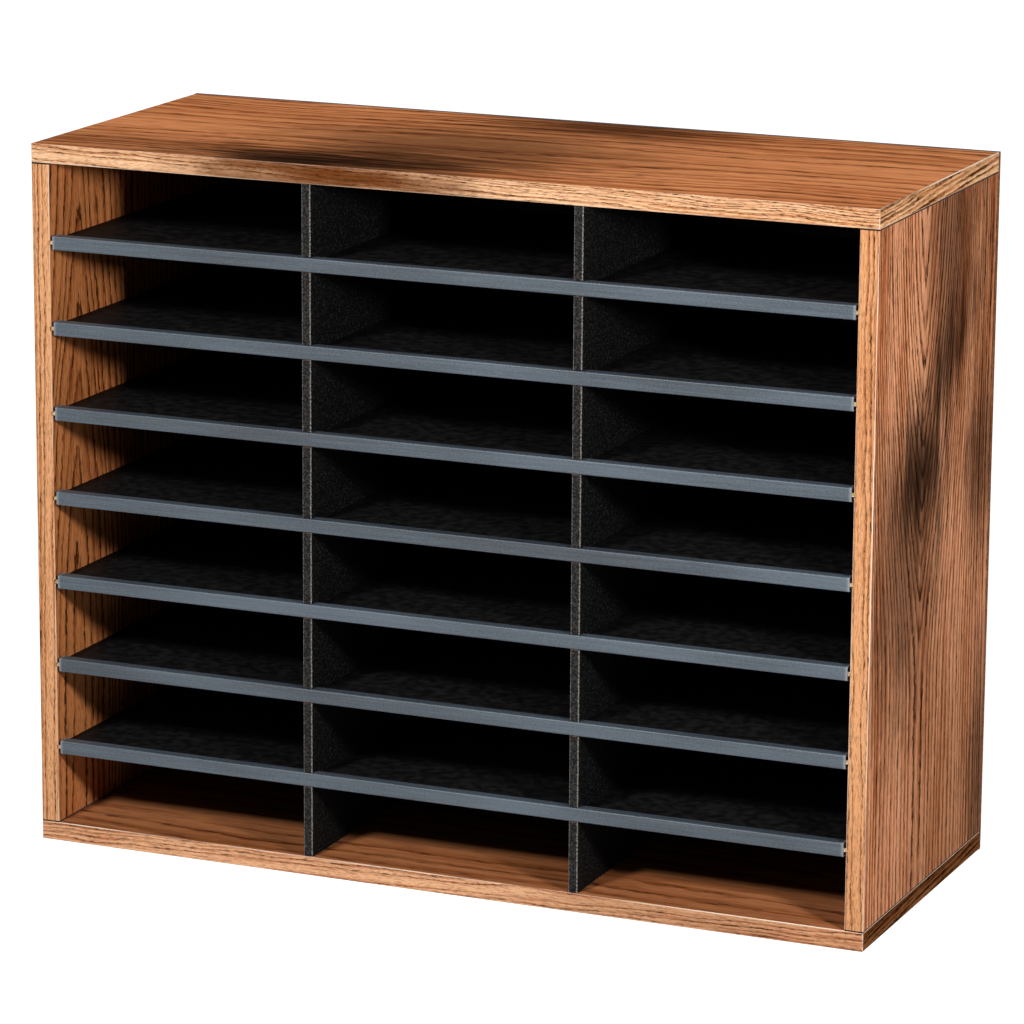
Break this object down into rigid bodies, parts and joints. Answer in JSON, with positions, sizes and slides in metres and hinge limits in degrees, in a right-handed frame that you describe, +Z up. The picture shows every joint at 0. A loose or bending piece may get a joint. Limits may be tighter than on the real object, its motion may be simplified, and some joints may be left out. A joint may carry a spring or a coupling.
{
  "type": "literature organizer",
  "caption": "Free-standing wood-laminate literature sorter with open letter-size compartments, notched dividers and thin pull-out shelves with dark front mouldings.",
  "frame": {"origin": "centre of the cabinet's footprint, on the surface it stands on", "axes": "X along the width, to the right as seen from the front; Y along the depth, from the open front to the back; Z up"},
  "size_m": [0.7366, 0.3016, 0.5969],
  "materials": {
    "oak_laminate": "satin",
    "oak_edge_band": "satin",
    "back_hardboard": "satin",
    "divider_fibreboard": "matte",
    "shelf_hardboard": "matte",
    "charcoal_moulding": "satin",
    "dowel_beech": "matte",
    "staple_steel": "satin"
  },
  "bodies": {
    "carcass": {"top_panel": "oak_laminate", "bottom_panel": "oak_laminate", "left_side_panel": "oak_laminate", "right_side_panel": "oak_laminate", "back_panel": "back_hardboard", "top_front_band": "oak_edge_band", "top_left_end_band": "oak_edge_band", "top_right_end_band": "oak_edge_band", "bottom_front_band": "oak_edge_band", "bottom_left_end_band": "oak_edge_band", "bottom_right_end_band": "oak_edge_band", "left_side_front_band": "oak_edge_band", "right_side_front_band": "oak_edge_band", "divider_1": "divider_fibreboard", "divider_2": "divider_fibreboard", "carcass_dowels": "dowel_beech", "back_staples": "staple_steel"},
    "sliding_shelf_1": {"shelf_1": "shelf_hardboard", "shelf_1_moulding": "charcoal_moulding"},
    "sliding_shelf_2": {"shelf_2": "shelf_hardboard", "shelf_2_moulding": "charcoal_moulding"},
    "sliding_shelf_3": {"shelf_3": "shelf_hardboard", "shelf_3_moulding": "charcoal_moulding"},
    "sliding_shelf_4": {"shelf_4": "shelf_hardboard", "shelf_4_moulding": "charcoal_moulding"},
    "sliding_shelf_5": {"shelf_5": "shelf_hardboard", "shelf_5_moulding": "charcoal_moulding"},
    "sliding_shelf_6": {"shelf_6": "shelf_hardboard", "shelf_6_moulding": "charcoal_moulding"},
    "sliding_shelf_7": {"shelf_7": "shelf_hardboard", "shelf_7_moulding": "charcoal_moulding"}
  },
  "joints": [
    {"name": "shelf_1_slide", "type": "slide", "parent": "carcass", "child": "sliding_shelf_1", "axis": [0, -1, 0], "range_m": [0, 0.25]},
    {"name": "shelf_2_slide", "type": "slide", "parent": "carcass", "child": "sliding_shelf_2", "axis": [0, -1, 0], "range_m": [0, 0.25]},
    {"name": "shelf_3_slide", "type": "slide", "parent": "carcass", "child": "sliding_shelf_3", "axis": [0, -1, 0], "range_m": [0, 0.25]},
    {"name": "shelf_4_slide", "type": "slide", "parent": "carcass", "child": "sliding_shelf_4", "axis": [0, -1, 0], "range_m": [0, 0.25]},
    {"name": "shelf_5_slide", "type": "slide", "parent": "carcass", "child": "sliding_shelf_5", "axis": [0, -1, 0], "range_m": [0, 0.25]},
    {"name": "shelf_6_slide", "type": "slide", "parent": "carcass", "child": "sliding_shelf_6", "axis": [0, -1, 0], "range_m": [0, 0.25]},
    {"name": "shelf_7_slide", "type": "slide", "parent": "carcass", "child": "sliding_shelf_7", "axis": [0, -1, 0], "range_m": [0, 0.25]}
  ]
}
